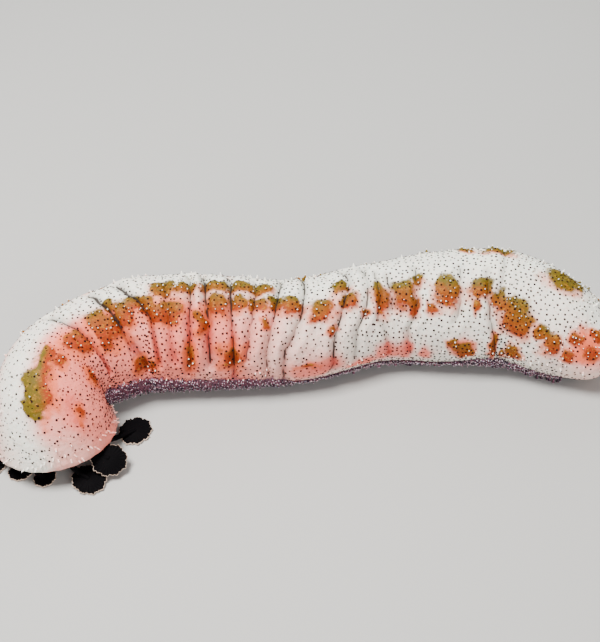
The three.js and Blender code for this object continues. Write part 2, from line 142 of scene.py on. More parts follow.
# What changes slowly over the skin, as places and values, along in millimetres from the vent or
# round in degrees. The fringe rises to these degrees, and more where the near flank hangs over it.
FRINGE_RISE_ALONG = ([0, 20, 60, 215, 300, 345, 384], [228, 218, 198, 196, 186, 188, 204])
FRINGE_HUNG_ALONG = ([84, 115, 198, 214], [0, 18, 18, 0])
# Over the back the blotches lean to olive, partly painted green light from above.
WARM_ROUND = ([20, 60, 95, 108, 130, 160], [0.0, -0.1, -0.25, 0.02, 0.3, 0.4])
WARM_ALONG = ([0, 14, 34, 110, 200, 300, 384], [0.5, 0.3, -0.3, -0.2, 0.05, 0.2, 0.35])
PINK_ALONG = ([0, 25, 60, 110, 170, 205, 240, 300, 345, 366, 384],
              [0.5, 0.22, 0.1, 0.1, 0.2, 0.44, 0.9, 1.1, 1.05, 0.95, 0.8])
PINK_NEAR_ROUND = ([88, 98, 110, 125, 150, 200], [0.04, 0.26, 0.75, 0.95, 1.0, 0.95])
PINK_FAR_ROUND = ([-30, 20, 52, 88], [1.0, 0.6, 0.08, 0.04])
HEAD_TURN_ALONG = ([300, 345, 384], [0, 12, 30])

# The small pieces that stand on the skin.
FULL_HEIGHT = 34.0  # of the back, where the spacing is as given
DOT_RANGE = (-46, 226)  # degrees round
DOT_SPACING = 3.75
DOT_RADIUS = 0.66
DOT_HEIGHT = 0.3
FINE_DOT_SPACING = 2.7
TAIL_END_ROWS = (0.3, 0.9, 1.8, 2.9)
PAPILLA_RANGE = (-12, 192)
PAPILLA_SPACING = 3.4
PAPILLA_HEIGHT = 1.9
PAPILLA_RADIUS = 0.95
FRINGE_SPACING = 1.7
FRINGE_FROM = 22
FRINGE_TO = 352
FRINGE_ROWS = 7
FRINGE_LOWEST = 238  # degrees round of the row nearest the floor
SOLE_FOOT_SPACING = 2.6
SOLE_FOOT_RADIUS = 0.95
SOLE_FOOT_BANDS = (-0.62, -0.5, -0.38, -0.1, 0.02, 0.14, 0.38, 0.5, 0.62)
COLLAR_COUNT = 84
PATCH_SIZE = 0.003  # of each small piece, on the map of the skin laid flat

# Seeds of the random draws. A piece that draws more than once counts on from its seed.
DOT_SEED = 21
PAPILLA_SEED = 31
FRINGE_SEED = 41
SOLE_SEED = 51
COLLAR_SEED = 61
OUTER_SEED = 70
INNER_SEED = 90

# The mouth, as the solids have it.
RIM_ROUND = 1.6
CUP_DEPTH = 7.5
DISC_SHARE = 0.825  # of the rim's width
DISC_FACE_DEPTH = 3.0
OUTER_ROOTS = (24.0, 14.5)
INNER_ROOTS = (15.5, 8.6)
ROOT_SUNK = 0.8
INNER_COUNT = 12
STALK_LOW = 4.6
STALK_ARRIVE = 3.2
STALK_SEAT = 1.6
STALK_RINGS = 26
INNER_REACH = 1.2
INNER_RADIUS = 2.6

# The soft rings: radius, thickness and number of folds.
LIPS_RING = (3.9, 1.3, 15)
VENT_RING = (2.6, 1.0, 10)

# Tentacles on the floor: place of the root round the disc in degrees, then the middle of the
# shield beside and ahead of the mouth, its radius, its tilt in degrees and how far it is held
# off the floor.
OUTER_TENTACLES = [
    (14, 25, 2.5, 6.4, 0, 0),
    (42, 13, 11.5, 6.4, 0, 0),
    (94, -9.6, 23.4, 9.3, 12, 0),
    (128, -23.2, 18.4, 9.6, 28, 3.4),
    (163, -43.7, -2.3, 9.8, 0, 0),
    (200, -31, -14.5, 5.2, 0, 0),
    (228, -20.2, -21, 5.2, 0, 0),
    (254, -8, -25.5, 5.2, 0, 0),
    (278, 4, -25.5, 5.4, 0, 0),
    (302, 18.5, -23.5, 6, 0, 0),
    (326, 34, -21, 6.6, 0, 0),
    (350, 37.2, -7.6, 6.2, 0, 0),
]

# The camera: it looks down at the animal across its length.
CAMERA_ELEVATION = 45.0
CAMERA_DISTANCE = 700.0
CAMERA_TARGET = np.array([0.0, 0.0, 33.0])
CAMERA_LENS = 65.42
CAMERA_SENSOR = 36.0


# Numbers that vary from piece to piece, the same each run.

def draws(seed, count, low=0.0, high=1.0):
    return np.random.default_rng(seed).uniform(low, high, count)


NOISE_FACTORS = np.array([374761393, 668265263, 1440662683])


def value_noise(points, cell, salt):
    """Smooth noise between -1 and 1 at points in millimetres, in cells of the given size."""
    place = points / cell
    corner = np.floor(place).astype(np.int64)
    part = place - corner
    part = part * part * (3 - 2 * part)
    total = np.zeros(len(points))
    for step in np.ndindex(2, 2, 2):
        # The corner's number, mixed from its place by large odd factors.
        mixed = (corner + step) @ NOISE_FACTORS + salt * 982451653
        mixed = (mixed ^ (mixed >> 13)) * 1274126177
        mixed = mixed ^ (mixed >> 16)
        weight = np.where(step, part, 1 - part).prod(axis=1)
        total += weight * ((mixed & 0xFFFF) / 32767.5 - 1)
    return total


def soft_step(low, high, values):
    t = np.clip((values - low) / (high - low), 0, 1)
    return t * t * (3 - 2 * t)


def unit(vectors):
    return vectors / np.maximum(np.linalg.norm(vectors, axis=-1, keepdims=True), 1e-9)


def round_angles(count):
    return 2 * np.pi * np.arange(count) / count


# The body's surface.

# The stations, with one more beyond each end.
PADDED = np.vstack([2 * STATIONS[0] - STATIONS[1], STATIONS, 2 * STATIONS[-1] - STATIONS[-2]])


def stations_at(place):
    """The stations' numbers between rows, on a smooth curve through them."""
    last = len(STATIONS) - 1
    place = np.clip(np.asarray(place, float), 0, last)
    row = np.minimum(place.astype(int), last - 1)
    part = (place - row)[..., None]
    before, here, after, beyond = (PADDED[row + step] for step in range(4))
    return 0.5 * (2 * here + (after - before) * part
                  + (2 * before - 5 * here + 4 * after - beyond) * part ** 2
                  + (3 * here - before - 3 * after + beyond) * part ** 3)


FINE = np.linspace(0, len(STATIONS) - 1, 50 * (len(STATIONS) - 1) + 1)
FINE_ROWS = stations_at(FINE)
FINE_STEPS = np.linalg.norm(np.diff(FINE_ROWS[:, :3], axis=0), axis=1)
DISTANCE = np.concatenate([[0], np.cumsum(FINE_STEPS)])
BODY_LENGTH = DISTANCE[-1]


def sections(distance):
    """Rows of numbers, and directions along, right and up, of sections at distances from the vent."""
    place = np.interp(distance, DISTANCE, FINE)
    row = stations_at(place)
    heading = stations_at(place + 1e-3)[..., :3] - stations_at(place - 1e-3)[..., :3]
    heading[..., 2] = 0
    heading = unit(heading)
    pitch = np.radians(row[..., 7])[..., None]
    along = heading * np.cos(pitch)
    along[..., 2] = -np.sin(pitch[..., 0])
    right = unit(np.stack([along[..., 1], -along[..., 0], np.zeros_like(along[..., 0])], -1))
    top = np.cross(right, along)
    return row, along, right, top


def base_points(distance, angle):
    """Points of the plain surface; angle in radians round from the animal's right."""
    row, _, right, top = sections(distance)
    wide = np.cos(angle)
    high = np.sin(angle)
    power = 2 / row[..., 6]
    below = high < 0
    x = np.where(below, row[..., 3] * np.sign(wide) * np.abs(wide) ** power, row[..., 3] * wide)
    y = np.where(below, -row[..., 5] * np.abs(high) ** power, row[..., 4] * high)
    return row[..., :3] + right * x[..., None] + top * y[..., None]


def normals(distance, angle):
    turn = 0.02
    round_it = base_points(distance, angle + turn) - base_points(distance, angle - turn)
    ahead = base_points(distance + 0.5, angle) - base_points(distance - 0.5, angle)
    return unit(np.cross(ahead, round_it))


def degrees_of(angle):
    """Degrees round, from -90 under the sole to 270."""
    return (np.degrees(angle) + 90) % 360 - 90


def side_degrees(degrees):
    """Degrees round of the point at the same height on the near side."""
    return np.where(degrees > 90, degrees, 180 - degrees)


def fringe_rise(distance, near_side):
    """Degrees round, on either side, at which the purple fringe starts."""
    return np.interp(distance, *FRINGE_RISE_ALONG) + np.interp(distance, *FRINGE_HUNG_ALONG) * near_side


def wander(points, salt):
    """How far the edge of a marking strays from its plain outline, in millimetres."""
    return 2.6 * value_noise(points, 6.0, salt) + 1.2 * value_noise(points, 2.6, salt + 1)


def path_distance(distance, degrees, path):
    """Millimetres over the skin from each point to a line drawn on it."""
    best = np.full(distance.shape, 1e6)
    turn = degrees * DEGREE_ROUND
    for (start, start_turn), (end, end_turn) in zip(path[:-1], path[1:]):
        long = end - start
        wide = (end_turn - start_turn) * DEGREE_ROUND
        x = distance - start
        y = turn - start_turn * DEGREE_ROUND
        share = np.clip((x * long + y * wide) / (long * long + wide * wide), 0, 1)
        best = np.minimum(best, np.hypot(x - share * long, y - share * wide))
    return best


def near_creases(distance, degrees, stray, reach):
    """For each crease, its depth, how dark its painted shade is, the points near it and how far off they
    are.
    """
    for depth, dark, path in CREASES:
        first = min(place for place, _ in path) - reach
        final = max(place for place, _ in path) + reach
        near = (distance > first) & (distance < final)
        yield depth, dark, near, path_distance(distance[near] + 0.25 * stray[near], degrees[near], path)


def across_spot(distance, degrees, stray, spot, strength=1.0):
    """The points near a spot, and how far along and round it they are, 1 at its edge."""
    place, turn, half_long, half_round = spot
    near = np.abs(distance - place) < half_long * 2.4 + 6
    along = (distance[near] - place + strength * stray[0][near]) / half_long
    across = ((degrees[near] - turn) * DEGREE_ROUND + strength * stray[1][near]) / half_round
    return near, along, across


def far_blotches():
    pick = np.random.default_rng(FAR_SEED)
    spots = []
    for place in np.arange(18, 345, FAR_STEP):
        for sway, *spans in FAR_BANDS:
            spots.append((place + pick.uniform(-sway, sway), *(pick.uniform(*span) for span in spans)))
    return spots


ALL_BLOTCHES = BLOTCHES + far_blotches()


def blotch_marks(distance, degrees, stray):
    """Masks of the blotches and the halo round them, and how warm their colour is, which is partly painted
    green light from above on their upper sides.
    """
    blotch = np.zeros(distance.shape)
    halo = np.zeros(distance.shape)
    warm = np.zeros(distance.shape)
    weight = np.full(distance.shape, 1e-6)
    for spot in ALL_BLOTCHES:
        near, along, across = across_spot(distance, degrees, stray, spot)
        # The spots have squarish corners.
        out = (np.abs(along) ** 3 + np.abs(across) ** 3) ** (1 / 3)
        blotch[near] = np.maximum(blotch[near], soft_step(1.28, 0.62, out))
        halo[near] = np.maximum(halo[near], soft_step(2.1, 0.9, out))
        # Each blotch is olive on its upper side and rust on its lower side. The olive is partly painted
        # green light from above.
        lower = np.clip(across, -1.6, 1.6) * (1 if spot[1] > 40 else -1)
        share = np.exp(-out * out)
        warm[near] += share * (0.5 + 0.42 * lower)
        weight[near] += share
    warm = warm / weight
    # Leaning to olive over the back, and to rust low on the near flank and on the head's lower side, is
    # partly painted green light from above.
    warm += np.interp(degrees, *WARM_ROUND)
    warm += np.interp(distance, *WARM_ALONG)
    warm += np.clip((degrees - 96) / 12, -0.4, 0.6) * soft_step(338, 352, distance)
    return blotch, halo, np.clip(warm, 0, 1)


def crease_marks(distance, degrees, points, stray):
    """Masks of painted shade: the dark lines in the creases and the broader shade in the grooves round
    them.
    """
    crease = np.zeros(distance.shape)
    groove = np.zeros(distance.shape)
    # The front creases gape wider over the back and fade on the flank. The others break up there.
    front = soft_step(278, 292, distance)
    gape = 0.5 + 0.42 * soft_step(285, 305, distance) * soft_step(330, 318, distance)
    sparse = soft_step(-0.5, 0.1, value_noise(points, 7.0, 10))
    line = np.maximum(soft_step(-0.75, 0.1, value_noise(points, 5.0, 9)), 0.85 * front)
    line = line * (1 - front * soft_step(112, 138, degrees))
    line = line * (1 - (1 - front) * soft_step(118, 132, degrees) * (1 - sparse))
    for _, dark, near, apart in near_creases(distance, degrees, stray[0], 5):
        # A painted dark shade line in the crease, and broader painted shade in the groove round it.
        crease_shade_line = dark * line[near] * np.exp(-(apart / gape[near]) ** 2)
        shade = (0.4 + 0.6 * dark) * np.exp(-(apart / 2.4) ** 2)
        crease[near] = np.maximum(crease[near], crease_shade_line)
        groove[near] = np.maximum(groove[near], shade)
    return crease, groove


def pink_mark(distance, degrees, points, stray):
    """How pink the skin is: most on the head and the lower flanks, with redder flushes."""
    turned = degrees + np.interp(distance, *HEAD_TURN_ALONG)
    around = np.maximum(np.interp(turned, *PINK_NEAR_ROUND), np.interp(degrees, *PINK_FAR_ROUND))
    pink = np.interp(distance, *PINK_ALONG) * around * (1 + 0.3 * value_noise(points, 18.0, 5))
    for spot in FLUSHES:
        near, along, across = across_spot(distance, degrees, stray, spot, 0.8)
        pink[near] += 1.15 * np.exp(-1.4 * (along ** 2 + across ** 2))
    return np.clip(pink, 0, 1.5)


def sole_mark(distance, degrees, points):
    """How purple the skin is: all of the sole, but not the head or the tail's end."""
    low = side_degrees(degrees) - fringe_rise(distance, degrees > 90) + 3 * value_noise(points, 5.0, 6)
    sole = (soft_step(-5, 7, low) + 0.3 * soft_step(-22, 0, low)) * soft_step(372, 352, distance)
    return sole * soft_step(4, 30, distance)


def skin_marks_and_shade(distance, angle):
    """Masks of the skin's markings at each point, and of the painted shade in the creases and grooves. Pink
    goes up to 1.5 and the others to about 1.
    """
    degrees = degrees_of(angle)
    points = base_points(distance, angle)
    stray = (wander(points, 1), wander(points, 3))
    blotch, halo, warm = blotch_marks(distance, degrees, stray)
    crease, groove = crease_marks(distance, degrees, points, stray)
    pink = pink_mark(distance, degrees, points, stray)
    sole = sole_mark(distance, degrees, points)
    return {"blotch": blotch, "halo": halo, "crease": crease, "groove": groove,
            "pink": pink, "sole": sole, "warm": warm}


def relief(distance, angle, marks):
    """How far the skin stands out from the plain surface, in millimetres."""
    degrees = degrees_of(angle)
    points = base_points(distance, angle)
    height = sum(rise * value_noise(points, cell, salt) for rise, cell, salt in SKIN_NOISE)
    for depth, _, near, apart in near_creases(distance, degrees, wander(points, 1), 9):
        # A groove with a narrow cut in it, and a fold on either side.
        profile = -1.25 * np.exp(-(apart / 2.6) ** 2) - 0.9 * np.exp(-(apart / 0.65) ** 2)
        profile += 0.55 * np.exp(-((apart - 4.8) / 2.4) ** 2)
        height[near] += depth * profile
    height += marks["blotch"] * (0.6 + 0.35 * value_noise(points, 3.4, 14))
    for place, turn, radius, rise in SWELLINGS:
        near = np.abs(distance - place) < radius * 1.8
        apart = np.hypot(distance[near] - place, (degrees[near] - turn) * DEGREE_ROUND) / radius
        height[near] += rise * np.exp(-(apart ** 3) * 1.2)
    # The relief dies away towards the sole.
    return height * np.clip(np.sin(angle) * 1.2 + 0.75, 0, 1)


def skin_points(distance, angle, marks=None):
    """Points of the finished skin, which the tube feet hold just off the floor."""
    marks = marks or skin_marks_and_shade(distance, angle)
    points = base_points(distance, angle)
    points = points + normals(distance, angle) * relief(distance, angle, marks)[..., None]
    bottom = SOLE_LIFT + 0.25 * value_noise(points, 4.0, 15)
    points[..., 2] = np.maximum(points[..., 2], bottom)
    return points


# Making meshes.

def add_object(name, data):
    made = bpy.data.objects.new(name, data)
    bpy.context.scene.collection.objects.link(made)
    return made


def make_piece(name, points, faces, material, masks=None):
    """A mesh object from points in millimetres, with a number stored on each point for each mask."""
    mesh = bpy.data.meshes.new(name)
    mesh.from_pydata(((points - ORIGIN) * MM).tolist(), [], faces)
    mesh.update()
    for key, values in (masks or {}).items():
        layer = mesh.attributes.new(key, "FLOAT", "POINT")
        layer.data.foreach_set("value", np.asarray(values, np.float32))
    mesh.polygons.foreach_set("use_smooth", np.ones(len(mesh.polygons), bool))
    mesh.materials.append(material)
    return add_object(name, mesh)


def tube_faces(rings, sides):
    """Quads between rings of points that follow one another."""
    faces = []
    for ring in range(rings - 1):
        for k in range(sides):
            a = ring * sides + k
            b = ring * sides + (k + 1) % sides
            faces.append((a, b, b + sides, a + sides))
    return faces


def fan_faces(start, sides, hub):
    """Triangles from a ring of points to one in its middle."""
    return [(start + k, start + (k + 1) % sides, hub) for k in range(sides)]


def turned_over(faces):
    return [tuple(reversed(face)) for face in faces]


def spokes(directions, sides):
    """Directions square to each given one, spread evenly round it."""
    up = np.zeros_like(directions)
    up[:, 2] = 1
    steep = np.abs(directions[:, 2]) > 0.9
    up[steep] = (1, 0, 0)
    side = unit(np.cross(directions, up))[:, None, :]
    other = np.cross(directions, side[:, 0])[:, None, :]
    turns = round_angles(sides)[None, :, None]
    return side * np.cos(turns) + other * np.sin(turns)


def add_bake_map(piece, roots, rings, sides):
    """Gives each small piece a patch of its own, at its root's place on the skin laid flat."""
    places, angle = roots
    middle = np.stack([places / (BODY_LENGTH + 10), (degrees_of(angle) + 90) / 360], axis=1)
    turns = round_angles(sides)
    circle = np.stack([np.cos(turns), np.sin(turns)], axis=1) * PATCH_SIZE / 2
    patch = np.concatenate([circle * (1 - ring / rings) for ring in range(rings)] + [np.zeros((1, 2))])
    spots = (middle[:, None, :] + patch[None]).reshape(-1, 2)
    corners = np.zeros(len(piece.data.loops), np.int32)
    piece.data.loops.foreach_get("vertex_index", corners)
    layer = piece.data.uv_layers.new(name="OFBake")
    layer.uv.foreach_set("vector", spots[corners].astype(np.float32).ravel())


def stand_pieces(name, roots, feet, directions, heights, radii, profile, sides, material, masks):
    """Many small turned pieces in one mesh: a profile of shares of height and radius, set on each
    foot along its direction. Roots are the feet's distances and angles on the skin. A mask holds
    one number for each piece, or a list of one for each ring."""
    out = spokes(directions, sides)
    rings = []
    for share, wide in profile:
        centre = feet + directions * (heights * share)[:, None]
        rings.append(centre[:, None, :] + out * (radii * wide)[:, None, None])
    tips = feet + directions * (heights * profile[-1][0])[:, None]
    block = np.concatenate(rings + [tips[:, None, :]], axis=1)
    count, per_piece, _ = block.shape
    shape = tube_faces(len(profile), sides)
    shape += fan_faces((len(profile) - 1) * sides, sides, per_piece - 1)
    faces = []
    for start in range(0, count * per_piece, per_piece):
        faces += [tuple(start + corner for corner in face) for face in shape]
    stored = {}
    for key, values in masks.items():
        if isinstance(values, list):
            one = np.concatenate([np.repeat(values, sides), [values[-1]]])
            stored[key] = np.tile(one, count)
        else:
            stored[key] = np.repeat(values, per_piece)
    piece = make_piece(name, block.reshape(-1, 3), faces, material, stored)
    add_bake_map(piece, roots, len(profile), sides)
    return piece


# Finishes.

class Value:
    """One output of a material's node, with arithmetic that adds Math nodes."""

    def __init__(self, finish, socket):
        self.finish = finish
        self.socket = socket

    def maths(self, operation, first, second):
        return self.finish.node("ShaderNodeMath", {"operation": operation}, {0: first, 1: second})

    def __add__(self, other):
        return self.maths("ADD", self, other)

    def __radd__(self, other):
        return self.maths("ADD", other, self)

    def __sub__(self, other):
        return self.maths("SUBTRACT", self, other)

    def __rsub__(self, other):
        return self.maths("SUBTRACT", other, self)

    def __mul__(self, other):
        return self.maths("MULTIPLY", self, other)

    def __rmul__(self, other):
        return self.maths("MULTIPLY", other, self)

    def out(self, name):
        return Value(self.finish, self.socket.node.outputs[name])


class Finish:
    """A material whose nodes are added one call at a time."""

    def __init__(self, name):
        self.material = bpy.data.materials.new(name)
        self.material.use_nodes = True
        self.nodes = self.material.node_tree.nodes
        self.links = self.material.node_tree.links
        self.surface = self.nodes["Principled BSDF"]

    def put(self, socket, value):
        if isinstance(value, Value):
            self.links.new(value.socket, socket)
        else:
            socket.default_value = value

    def node(self, kind, settings, inputs):
        made = self.nodes.new(kind)
        for key, value in settings.items():
            setattr(made, key, value)
        for key, value in inputs.items():
            self.put(made.inputs[key], value)
        return Value(self, next(output for output in made.outputs if output.enabled))

    def stored(self, name):
        return self.node("ShaderNodeAttribute", {"attribute_name": name}, {}).out("Fac")

    def place(self):
        return self.node("ShaderNodeTexCoord", {}, {}).out("Object")

    def noise(self, place, per_metre, detail=2.0, roughness=0.5):
        inputs = {"Vector": place, "Scale": per_metre, "Detail": detail, "Roughness": roughness}
        return self.node("ShaderNodeTexNoise", {}, inputs).out("Fac")

    def step(self, value, low, high):
        inputs = {"Value": value, "From Min": low, "From Max": high}
        return self.node("ShaderNodeMapRange", {"interpolation_type": "SMOOTHSTEP"}, inputs)

    def mix(self, share, first, second):
        return self.node("ShaderNodeMix", {"data_type": "RGBA"}, {0: share, 6: first, 7: second})

    def bump(self, height, strength, distance, normal=None):
        inputs = {"Height": height, "Strength": strength, "Distance": distance}
        if normal is not None:
            inputs["Normal"] = normal
        return self.node("ShaderNodeBump", {}, inputs)

    def set(self, **sockets):
        for key, value in sockets.items():
            self.put(self.surface.inputs[key.replace("_", " ")], value)
        return self.material


def srgb(red, green, blue):
    """A colour from the 0 to 255 numbers seen on a screen."""
    def linear(value):
        value = value / 255
        return value / 12.92 if value <= 0.04045 else ((value + 0.055) / 1.055) ** 2.4
    return (linear(red), linear(green), linear(blue), 1.0)


CREAM = srgb(250, 240, 224)
COOL_WHITE = srgb(232, 244, 236)
PINK = srgb(246, 132, 116)
# Red of the flushes, and painted shade in the grooves of the pink skin.
DEEP_PINK = srgb(206, 62, 50)
# Olive of the blotches' upper sides: partly their own colour, partly painted green light from above.
OLIVE = srgb(96, 80, 4)
OCHRE = srgb(134, 66, 2)
RUST = srgb(150, 38, 4)
HALO_ORANGE = srgb(224, 96, 44)
PALE_OCHRE = srgb(180, 138, 44)
PURPLE = srgb(52, 30, 54)
LILAC = srgb(132, 84, 110)
# Painted shade in the creases and the grooves round them.
PAINTED_CREASE_SHADE = srgb(26, 10, 8)
TIP_WHITE = srgb(255, 250, 238)


def skin_finish():
    """Soft wet skin: cream to pink, with olive to rust blotches, painted shade in the creases and grooves,
    and a purple sole edge. The blotches' olive upper sides are partly painted green light from above.
    """
    f = Finish("soft_skin")
    place = f.place()
    broad = f.noise(place, 60, 3.0)
    fine = f.noise(place, 420, 3.0)
    grain = f.noise(place, 1400, 2.0, 0.6)
    pink = f.stored("pink") + (broad - 0.5) * 0.3 + (fine - 0.5) * 0.2
    ground = f.mix(f.step(pink, -0.1, 0.95), f.mix(broad, CREAM, COOL_WHITE), PINK)
    # Deep pink in the red flushes, and as painted shade in the grooves.
    pink_and_groove_shade = pink + f.stored("groove") * 0.7 + (fine - 0.5) * 0.5
    ground = f.mix(f.step(pink_and_groove_shade, 0.95, 1.95) * 0.8, ground, DEEP_PINK)
    halo = f.stored("halo") + (fine - 0.5) * 0.6 + (pink - 0.5) * 0.25
    glow = f.step(halo, 0.1, 1.0) * 0.7 * f.step(f.stored("warm"), 0.0, 0.5)
    ground = f.mix(glow, ground, HALO_ORANGE)
    # Olive where the warm mask is low: partly the blotches' own colour, partly painted green light on their
    # upper sides.
    warm = f.stored("warm") + (fine - 0.5) * 0.9
    patch = f.mix(f.step(warm, 0.1, 0.65), OLIVE, OCHRE)
    patch = f.mix(f.step(warm + (grain - 0.5) * 0.4, 0.6, 1.15), patch, RUST)
    patch = f.mix(f.step(fine + (grain - 0.5) * 0.6, 0.52, 0.8) * 0.6, patch, PALE_OCHRE)
    edge = f.stored("blotch") + (fine - 0.5) * 1.1 + (grain - 0.5) * 0.6
    colour = f.mix(f.step(edge, 0.05, 0.9), ground, patch)
    # Painted shade in the grooves round the creases.
    colour = f.mix(f.stored("groove") * 0.35, colour, PAINTED_CREASE_SHADE)
    sole = f.stored("sole") + (fine - 0.5) * 0.7
    low = f.mix(f.step(grain, 0.45, 0.7), PURPLE, LILAC)
    colour = f.mix(f.step(sole, 0.15, 0.6) * 0.92, colour, low)
    # Painted shade: the dark line in each crease.
    colour = f.mix(f.step(f.stored("crease"), 0.12, 0.62) * 0.92, colour, PAINTED_CREASE_SHADE)
    colour = f.mix(f.step(f.stored("tip"), 0.35, 0.75), colour, TIP_WHITE)
    bumps = f.bump(fine, 0.4, 0.0012, f.bump(grain, 0.35, 0.0005))
    return f.set(Base_Color=colour, Roughness=0.55 + 0.2 * fine, Normal=bumps, Subsurface_Weight=0.08,
                 Subsurface_Radius=(1.0, 0.42, 0.3), Subsurface_Scale=0.0015, Specular_IOR_Level=0.2,
                 Coat_Weight=0.02, Coat_Roughness=0.3)


def dot_finish():
    f = Finish("dark_dots")
    tone = f.noise(f.place(), 90, 2.0)
    colour = f.mix(tone, srgb(14, 8, 10), srgb(48, 22, 22))
    return f.set(Base_Color=colour, Roughness=0.8, Specular_IOR_Level=0.1)


def foot_finish():
    """Tube feet: grey-purple stems with pale tips."""
    f = Finish("tube_feet")
    tone = f.noise(f.place(), 260, 2.0)
    stem = f.mix(f.step(tone, 0.35, 0.7), srgb(48, 28, 50), srgb(150, 92, 112))
    white = f.step(tone + f.stored("tip") * 0.8, 0.95, 1.35)
    colour = f.mix(white, stem, srgb(232, 210, 222))
    return f.set(Base_Color=colour, Roughness=0.45, Subsurface_Weight=0.1, Subsurface_Scale=0.001)


def tentacle_finish():
    """Black flesh with a pale frilled edge."""
    f = Finish("black_flesh")
    place = f.place()
    grain = f.noise(place, 900, 3.0)
    colour = f.mix(grain, srgb(1, 1, 2), srgb(7, 5, 7))
    pale = f.stored("pale") + (grain - 0.5) * 0.5
    colour = f.mix(f.step(pale, 0.5, 0.8), colour, srgb(214, 190, 172))
    return f.set(Base_Color=colour, Roughness=0.6 + 0.3 * grain, Normal=f.bump(grain, 0.4, 0.0004),
                 Specular_IOR_Level=0.05)


def lip_finish():
    f = Finish("lip_flesh")
    grain = f.noise(f.place(), 500, 3.0)
    colour = f.mix(grain, srgb(70, 44, 56), srgb(150, 106, 116))
    return f.set(Base_Color=colour, Roughness=0.45, Normal=f.bump(grain, 0.5, 0.0006))


def floor_finish():
    f = Finish("pale_floor")
    tone = f.noise(f.place(), 3, 2.0)
    return f.set(Base_Color=f.mix(tone, srgb(176, 175, 172), srgb(182, 181, 179)), Roughness=0.8)


# The skin.

def mouth_frame():
    row, along, right, top = (part[0] for part in sections(np.array([BODY_LENGTH])))
    return along, right, top, row[:3] + top * (row[4] - row[5]) / 2


RIM_ALONG, RIM_RIGHT, RIM_TOP, MOUTH = mouth_frame()
FORWARD = unit(np.array([RIM_ALONG[0], RIM_ALONG[1], 0.0]))
VENT = STATIONS[0][:3]
VENT_OUT = -sections(np.array([0.0]))[1][0]


def rim_outline(angles):
    """The plain rim round the mouth, measured from the mouth's middle."""
    return base_points(np.full(angles.shape, BODY_LENGTH), angles) - MOUTH


def build_skin(material):
    """One skin from the puckered vent to the inside of the rim round the mouth."""
    angles = round_angles(POINTS_ROUND)
    skin_end = BODY_LENGTH - RIM_ROUND
    steps = int(round(skin_end / STEP_ALONG))
    grid = np.meshgrid(np.linspace(0.0, skin_end, steps), angles, indexing="ij")
    flat_places, flat_angles = (part.ravel() for part in grid)
    marks = skin_marks_and_shade(flat_places, flat_angles)
    body = skin_points(flat_places, flat_angles, marks)
    end_marks = skin_marks_and_shade(np.full(POINTS_ROUND, skin_end), angles)
    # Share of the rim's width, and how far out past it.
    rim_profile = [(0.985, -0.9), (0.965, -0.3), (0.94, 0.0), (0.91, -0.15), (0.885, -0.7), (0.868, -1.6),
                   (0.855, -3.5), (0.845, -5.5), (0.838, -CUP_DEPTH)]
    wrinkle = 1 + 0.008 * np.cos(angles * 26)[:, None]
    outline = rim_outline(angles)
    rim = [(outline + RIM_ALONG * out) * scale * wrinkle + MOUTH for scale, out in rim_profile]
    vent_profile = [(0.36, -2.6), (0.4, -1.2), (0.5, -0.2), (0.7, 0.25)]
    pucker = 1 + 0.06 * np.cos(angles * 11)[:, None]
    vent_outline = (body[:POINTS_ROUND] - VENT) * pucker
    vent = [vent_outline * scale + VENT + VENT_OUT * out for scale, out in vent_profile]
    vent_bottom = VENT + VENT_OUT * vent_profile[0][1]
    points = np.concatenate(vent + [body] + rim + [vent_bottom[None]])
    masks = {}
    for key, values in marks.items():
        first = np.tile(values[:POINTS_ROUND], len(vent))
        final = np.tile(end_marks[key], len(rim))
        masks[key] = np.concatenate([first, values, final, values[:1]])
    masks["tip"] = np.zeros(len(points))
    faces = tube_faces(len(vent) + steps + len(rim), POINTS_ROUND)
    faces += turned_over(fan_faces(0, POINTS_ROUND, len(points) - 1))
    piece = make_piece("skin", points, faces, material, masks)
    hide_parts("tail", "trunk_rear", "trunk_middle", "trunk_front", "neck", "head")
    return piece


def skin_spots(spacing, span, seed):
    """Places spread evenly over the skin between two angles, each nudged at random."""
    pick = np.random.default_rng(seed)
    places = []
    turns = []
    rows = np.concatenate([TAIL_END_ROWS, np.arange(4.0, BODY_LENGTH - 3, spacing * 0.87)])
    for row, place in enumerate(rows):
        wide = np.interp(place, DISTANCE, FINE_ROWS[:, 4]) / FULL_HEIGHT
        step = spacing / (DEGREE_ROUND * max(wide, 0.25))
        for turn in np.arange(span[0] + (row % 2) * step / 2, span[1], step):
            places.append(place + pick.uniform(-0.3, 0.3) * min(spacing, place))
            turns.append(turn + pick.uniform(-0.3, 0.3) * step)
    return np.array(places), np.array(turns)


def build_dots(material):
    """Dark dots over the whole skin, with smaller ones between them on the head and near the sole."""
    places, turns = skin_spots(DOT_SPACING, DOT_RANGE, DOT_SEED)
    fine_places, fine_turns = skin_spots(FINE_DOT_SPACING, DOT_RANGE, DOT_SEED + 2)
    side = side_degrees(fine_turns)
    low = side - fringe_rise(fine_places, fine_turns > 90)
    close = 0.75 * soft_step(338, 368, fine_places) * soft_step(70, 110, side)
    close = np.maximum(close, 0.8 * soft_step(-24, -6, low))
    fine = draws(DOT_SEED + 3, len(fine_places)) < close
    size = np.concatenate([draws(DOT_SEED + 1, len(places), 0.75, 1.2),
                           draws(DOT_SEED + 4, int(fine.sum()), 0.5, 0.75)])
    places = np.concatenate([places, fine_places[fine]])
    turns = np.concatenate([turns, fine_turns[fine]])
    marks = skin_marks_and_shade(places, np.radians(turns))
    keep = (marks["crease"] < 0.3) & (places < BODY_LENGTH - 3)
    keep = keep & (side_degrees(turns) < fringe_rise(places, turns > 90))
    places, angle, size = places[keep], np.radians(turns[keep]), size[keep]
    out = normals(places, angle)
    feet = skin_points(places, angle) - out * 0.12
    return stand_pieces("dots", (places, angle), feet, out, DOT_HEIGHT * size + 0.1, DOT_RADIUS * size,
                        [(0, 1.05), (0.6, 0.9), (1.0, 0.4)], 6, material, {})


